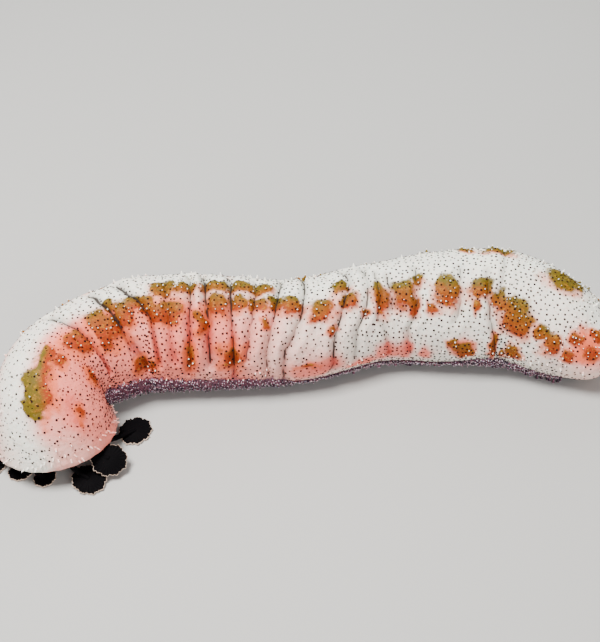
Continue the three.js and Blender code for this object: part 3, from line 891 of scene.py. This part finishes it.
def build_papillae(material):
    """Papillae: thick on the blotches, thinner along the back, and a row above the sole's edge."""
    places, turns = skin_spots(PAPILLA_SPACING, PAPILLA_RANGE, PAPILLA_SEED)
    marks = skin_marks_and_shade(places, np.radians(turns))
    chance = draws(PAPILLA_SEED + 1, len(places))
    on_blotch = (marks["blotch"] > 0.6) & (chance < 0.27)
    on_back = (marks["blotch"] < 0.3) & (turns > 25) & (turns < 98) & (chance > 0.87)
    on_tail = (places < 26) & (chance > 0.55)
    low_row = ((turns > 180) | (turns < 0)) & (chance > 0.9)
    keep = on_blotch | on_back | on_tail | low_row
    marks = {key: values[keep] for key, values in marks.items()}
    places, angle = places[keep], np.radians(turns[keep])
    out = normals(places, angle)
    feet = skin_points(places, angle) - out * 0.35
    lean = np.random.default_rng(PAPILLA_SEED + 2).normal(0, 0.16, feet.shape)
    size = draws(PAPILLA_SEED + 3, len(feet), 0.65, 1.2)
    marks["tip"] = [0.0, 0.05, 0.3, 0.75, 1.0]
    profile = [(0, 1.15), (0.25, 0.8), (0.55, 0.5), (0.85, 0.33), (1.0, 0.14)]
    return stand_pieces("papillae", (places, angle), feet, unit(out + lean), PAPILLA_HEIGHT * size + 0.3,
                        PAPILLA_RADIUS * size, profile, 7, material, marks)


def fringe_row(side, row, pick):
    """One row of the fringe: the distance, angle, foot, direction and length of each tube foot."""
    share = row / (FRINGE_ROWS - 1)
    places = np.arange(FRINGE_FROM + pick.uniform(0, 2), FRINGE_TO, FRINGE_SPACING)
    places = places + pick.uniform(-0.6, 0.6, len(places))
    top = fringe_rise(places, side < 0) - 2
    around = top + (FRINGE_LOWEST - top) * (1 - share) ** 1.1
    angle = np.radians(around if side < 0 else 180 - around) + pick.uniform(-0.05, 0.05, len(places))
    foot = skin_points(places, angle)
    out = sections(places)[2] * side * (0.75 + 0.4 * share)
    drop = np.array([0.0, 0.0, -1.0]) * (1.15 - 0.9 * share)
    direction = unit(out + drop + pick.normal(0, 0.16, (len(places), 3)))
    # They are longest next to the floor, shorter towards both ends, and stop at the floor.
    ends = np.minimum(soft_step(FRINGE_FROM - 4, FRINGE_FROM + 30, places),
                      soft_step(FRINGE_TO + 4, FRINGE_TO - 20, places))
    length = (pick.uniform(0.9, 2.2, len(places)) + (1.4 if row < 2 else 0.0)) * (0.45 + 0.55 * ends)
    reach = foot[:, 2] / np.maximum(-direction[:, 2], 0.05)
    length = np.minimum(length, reach - 0.05)
    keep = length > 0.8
    return [part[keep] for part in (places, angle, foot, direction, length)]


def build_fringe(material):
    """Tube feet along both edges of the sole: the low ones reach the floor."""
    pick = np.random.default_rng(FRINGE_SEED)
    rows = [fringe_row(side, row, pick) for side in (1, -1) for row in range(FRINGE_ROWS)]
    places, angle, feet, directions, lengths = (np.concatenate(part) for part in zip(*rows))
    radii = draws(FRINGE_SEED + 1, len(feet), 0.3, 0.52)
    profile = [(0, 1.2), (0.4, 0.95), (0.8, 0.8), (0.94, 0.95), (1.0, 0.6)]
    return stand_pieces("edge_tube_feet", (places, angle), feet - directions * 0.4, directions,
                        lengths + 0.4, radii, profile, 6, material, {"tip": [0.0, 0.1, 0.5, 0.9, 1.0]})


def build_sole_feet(material):
    """Three bands of tube feet under the sole, all standing on the floor."""
    pick = np.random.default_rng(SOLE_SEED)
    feet = []
    roots = []
    for place in np.arange(24, 348, SOLE_FOOT_SPACING):
        row, _, right, _ = (part[0] for part in sections(np.array([place])))
        for band in SOLE_FOOT_BANDS:
            spot = row[:3] + right * row[3] * (band + pick.uniform(-0.04, 0.04))
            feet.append([spot[0] + pick.uniform(-0.8, 0.8), spot[1] + pick.uniform(-0.8, 0.8), 0.0])
            roots.append((place, math.radians(270 + 70 * band)))
    feet = np.array(feet)
    up = np.tile([0.0, 0.0, 1.0], (len(feet), 1))
    heights = np.full(len(feet), SOLE_LIFT + 1.2)
    radii = np.full(len(feet), SOLE_FOOT_RADIUS)
    profile = [(0, 0.9), (0.06, 1.0), (0.22, 0.95), (0.35, 0.6), (1.0, 0.7)]
    return stand_pieces("sole_tube_feet", np.array(roots).T, feet, up, heights, radii, profile, 7,
                        material, {"tip": [1.0, 0.9, 0.5, 0.2, 0.0]})


def build_collar(material):
    """Pale papillae close together round the mouth's rim."""
    nudge = draws(COLLAR_SEED, COLLAR_COUNT, -0.3, 0.3)
    angle = 2 * np.pi * (np.arange(COLLAR_COUNT) + nudge) / COLLAR_COUNT
    places = BODY_LENGTH - draws(COLLAR_SEED + 1, COLLAR_COUNT, 1.2, 5.0)
    feet = skin_points(places, angle)
    away = feet - MOUTH
    away = unit(away - RIM_ALONG * (away @ RIM_ALONG)[:, None])
    behind = np.sin(angle) < 0
    lean = np.random.default_rng(COLLAR_SEED + 2).normal(0, 0.12, feet.shape)
    direction = unit(away + RIM_ALONG * np.where(behind, 0.5, 0.25)[:, None] + lean)
    heights = np.where(behind, 1.6, draws(COLLAR_SEED + 3, COLLAR_COUNT, 0.9, 2.2))
    radii = draws(COLLAR_SEED + 4, COLLAR_COUNT, 0.65, 0.95)
    profile = [(0, 1.25), (0.2, 0.85), (0.5, 0.6), (0.8, 0.48), (0.94, 0.34), (1.0, 0.15)]
    marks = {key: values * (0.8 if key == "pink" else 0) for key, values in skin_marks_and_shade(places, angle).items()}
    marks["tip"] = [0.0, 0.1, 0.2, 0.35, 0.6, 0.9]
    return stand_pieces("collar_papillae", (places, angle), feet - direction * 0.5, direction,
                        heights + 0.5, radii, profile, 9, material, marks)


# The mouth.

def mouth_point(beside, ahead, out):
    return MOUTH + RIM_RIGHT * beside + RIM_TOP * ahead + RIM_ALONG * out


def build_oral_disc(material):
    """The wrinkled disc round the mouth, sunk in the middle."""
    sides = 120
    angles = round_angles(sides)
    outline = rim_outline(angles)
    rings = [outline * DISC_SHARE + MOUTH - RIM_ALONG * (CUP_DEPTH - 0.4)]
    for scale in np.linspace(DISC_SHARE, 0.1, 22):
        ripple = 0.25 * np.cos(angles * 24) * min(1.0, scale * 2) + 0.15 * np.cos(angles * 37 + scale * 9)
        depth = -DISC_FACE_DEPTH - 1.8 * math.exp(-(scale / 0.16) ** 2) - 0.35
        rings.append(outline * scale + MOUTH + RIM_ALONG * (depth + ripple)[:, None])
    points = np.concatenate(rings + [mouth_point(0, 0, -DISC_FACE_DEPTH - 3.2)[None]])
    faces = tube_faces(len(rings), sides) + fan_faces((len(rings) - 1) * sides, sides, len(points) - 1)
    piece = make_piece("mouth_disc", points, faces, material)
    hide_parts("oral_disc")
    return piece


def build_ring(name, centre, out, radius, thick, folds, material, node):
    """A puckered ring of soft flesh."""
    sides, around = 96, 14
    spoke = spokes(out[None], sides)[0][:, None, :]
    plump = (1 + 0.22 * np.cos(folds * round_angles(sides)))[:, None, None]
    turns = round_angles(around)[None, :, None]
    wide = radius + radius * 0.38 * plump * np.cos(turns)
    points = centre + spoke * wide + out * (0.2 + thick * plump * np.sin(turns))
    # The last row of the tube is the first one again.
    faces = [tuple(corner % (sides * around) for corner in face) for face in tube_faces(sides + 1, around)]
    piece = make_piece(name, points.reshape(-1, 3), faces, material)
    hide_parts(node)
    return piece


def bezier(points, t):
    start, leave, arrive, end = points
    t = t[:, None]
    rest = 1 - t
    return start * rest ** 3 + 3 * leave * t * rest ** 2 + 3 * arrive * t ** 2 * rest + end * t ** 3


def stalk_mesh(path, radii, sides):
    out = spokes(unit(np.gradient(path, axis=0)), sides)
    rings = path[:, None, :] + out * radii[:, None, None]
    return rings.reshape(-1, 3), tube_faces(len(path), sides)


def shield_mesh(centre, radius, tilt, lobes, seed):
    """A leaf-like plate with a frilled, slightly raised edge. Returns points, faces and paleness."""
    pick = np.random.default_rng(seed)
    sides = 160
    angles = round_angles(sides)
    outline = np.ones(sides)
    for size, waves in ((0.045, lobes), (0.03, 2 * lobes + 3), (0.02, 4 * lobes + 1), (0.05, 2)):
        outline += size * np.cos(waves * angles + pick.uniform(0, 6))
    frill = 0.28 * np.cos(3 * lobes * angles + pick.uniform(0, 6)) + 0.2 * np.cos(5 * lobes * angles)
    axis = unit(np.cross([0.0, 0.0, 1.0], FORWARD))
    cosine = math.cos(math.radians(tilt))
    sine = math.sin(math.radians(tilt))
    rings = []
    # Up the top from the middle to the edge, over it, and back underneath: share of the radius,
    # height and paleness. The first rows are ribbed.
    profile = [(0.12, 2.3, 0), (0.3, 2.2, 0), (0.5, 1.9, 0), (0.68, 1.65, 0), (0.82, 1.5, 0),
               (0.91, 1.55, 0), (0.965, 1.6, 0.45), (1.0, 1.35, 1), (1.005, 1.0, 1), (0.98, 0.6, 0.9),
               (0.92, 0.25, 0.5), (0.75, 0.05, 0), (0.4, 0.02, 0)]
    for row, (share, height, _) in enumerate(profile):
        edge = share ** 3
        wide = radius * share * (1 + (outline - 1) * edge)
        high = height + frill * edge * (height > 0.3)
        if row < 6:
            high = high + 0.04 * np.cos(angles * (lobes * 2) + share * 5) * share
        flat = np.stack([wide * np.cos(angles), wide * np.sin(angles), high], -1)
        ring = flat * cosine + np.cross(axis, flat) * sine + axis * (flat @ axis)[:, None] * (1 - cosine)
        ring += centre
        ring[:, 2] = np.maximum(ring[:, 2], 0.02)
        rings.append(ring)
    pale = np.repeat([light for _, _, light in profile], sides)
    points = np.concatenate(rings + [rings[0].mean(0)[None], rings[-1].mean(0)[None]])
    faces = turned_over(tube_faces(len(profile), sides))
    faces += fan_faces(0, sides, len(points) - 2)
    faces += turned_over(fan_faces((len(profile) - 1) * sides, sides, len(points) - 1))
    return points, faces, np.concatenate([pale, [0, 0]])


def build_tentacle(number, path, radii, shield, material):
    stem, stem_faces = stalk_mesh(path, radii, 14)
    plate, plate_faces, pale = shield
    start = len(stem)
    points = np.concatenate([stem, plate])
    faces = stem_faces + [tuple(corner + start for corner in face) for face in plate_faces]
    masks = {"pale": np.concatenate([np.zeros(start), pale])}
    name = f"tentacle_{number:02d}"
    piece = make_piece("feeding_" + name, points, faces, material, masks)
    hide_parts(name)
    return piece


def disc_root(roots, turn):
    """The root of a tentacle, at an angle round one of the two ovals of roots on the disc."""
    return mouth_point(roots[0] * math.cos(turn), roots[1] * math.sin(turn), -DISC_FACE_DEPTH - ROOT_SUNK)


def build_outer_tentacles(material):
    """The tentacles whose shields lie on the floor or lean on it."""
    t = np.linspace(0, 1, STALK_RINGS)
    for index, (turn, beside, ahead, radius, tilt, lift) in enumerate(OUTER_TENTACLES):
        root = disc_root(OUTER_ROOTS, math.radians(turn))
        spot = MOUTH + RIM_RIGHT * beside + FORWARD * ahead
        spot[2] = radius * math.sin(math.radians(tilt)) * 0.94 + lift
        top = spot + np.array([0, 0, STALK_SEAT])
        leave = root + RIM_ALONG * (root[2] - STALK_LOW)
        arrive = top + (root - top) * 0.3
        arrive[2] = spot[2] + STALK_ARRIVE
        path = bezier([root, leave, arrive, top], t)
        radii = np.interp(t, [0, 0.15, 0.62, 1.0], [2.3, 1.9, 1.45, 1.6]) * (1 + 0.05 * np.cos(t * 60))
        shield = shield_mesh(spot, radius, tilt, 9, OUTER_SEED + index)
        yield build_tentacle(index + 1, path, radii, shield, material)


def build_inner_tentacles(material):
    """Short tentacles under the head, each reaching down as far as its own solid does."""
    t = np.linspace(0, 1, STALK_RINGS)
    for index in range(INNER_COUNT):
        number = len(OUTER_TENTACLES) + index + 1
        even = 2 * math.pi * (index + 0.5) / INNER_COUNT
        turn = even + 0.2 * math.sin(2 * even)
        root = disc_root(INNER_ROOTS, turn)
        beside = INNER_ROOTS[0] * math.cos(turn) * 1.04
        end = mouth_point(beside, INNER_ROOTS[1] * math.sin(turn) * 1.08, 0.0)
        end[2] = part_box(f"tentacle_{number:02d}")[0][2] / MM
        path = root + (end + np.array([0, 0, INNER_REACH]) - root) * t[:, None]
        radii = np.interp(t, [0, 1], [1.6, 1.15])
        shield = shield_mesh(end, INNER_RADIUS, 0, 6, INNER_SEED + index)
        yield build_tentacle(number, path, radii, shield, material)


# The room: a pale floor, soft lights and the camera.

def build_floor():
    half = 3.0
    corners = [(-half, -half, 0), (half, -half, 0), (half, half, 0), (-half, half, 0)]
    mesh = bpy.data.meshes.new("floor")
    mesh.from_pydata(corners, [], [(0, 1, 2, 3)])
    mesh.materials.append(floor_finish())
    floor = add_object("floor", mesh)


def add_light(name, place, size, power, colour):
    """A square light at a place in metres, turned to the animal's middle on the floor."""
    data = bpy.data.lights.new(name, "AREA")
    data.size = size
    data.energy = power
    data.color = colour
    light = add_object(name, data)
    light.location = place
    flat = math.hypot(place[0], place[1])
    light.rotation_euler = (math.atan2(flat, place[2]), 0, math.atan2(place[1], place[0]) + math.pi / 2)


def build_lights():
    add_light("key", (-0.4, -0.1, 1.2), 0.45, 40, (1.0, 0.98, 0.95))
    add_light("fill", (0.5, -1.0, 0.6), 0.9, 8, (1.0, 0.98, 0.96))
    add_light("back", (0.2, 0.9, 0.8), 0.8, 6, (0.94, 1.0, 0.98))
    world = bpy.data.worlds.new("soft_room")
    world.use_nodes = True
    sky = world.node_tree.nodes["Background"]
    sky.inputs["Color"].default_value = (0.9, 0.93, 0.97, 1.0)
    sky.inputs["Strength"].default_value = 0.28
    bpy.context.scene.world = world


def build_camera():
    tilt = math.radians(CAMERA_ELEVATION)
    place = CAMERA_TARGET + CAMERA_DISTANCE * np.array([0.0, -math.cos(tilt), math.sin(tilt)])
    data = bpy.data.cameras.new("camera")
    data.lens = CAMERA_LENS
    data.sensor_width = CAMERA_SENSOR
    data.clip_start = 0.01
    camera = add_object("camera", data)
    camera.location = (place - ORIGIN) * MM
    camera.rotation_euler = (math.pi / 2 - tilt, 0, 0)
    bpy.context.scene.camera = camera


def settle(piece):
    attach(piece, "root")


def main():
    skin = skin_finish()
    feet = foot_finish()
    flesh = lip_finish()
    black = tentacle_finish()
    settle(build_skin(skin))
    settle(build_dots(dot_finish()))
    settle(build_papillae(skin))
    settle(build_collar(skin))
    settle(build_fringe(feet))
    settle(build_sole_feet(feet))
    settle(build_oral_disc(flesh))
    lips = mouth_point(0, 0, 0.3 - DISC_FACE_DEPTH)
    settle(build_ring("lips", lips, RIM_ALONG, *LIPS_RING, flesh, "mouth_ring"))
    vent = VENT + VENT_OUT * 0.3
    settle(build_ring("vent", vent, VENT_OUT, *VENT_RING, flesh, "vent_ring"))
    for piece in [*build_outer_tentacles(black), *build_inner_tentacles(black)]:
        settle(piece)
    build_floor()
    build_lights()
    build_camera()


main()
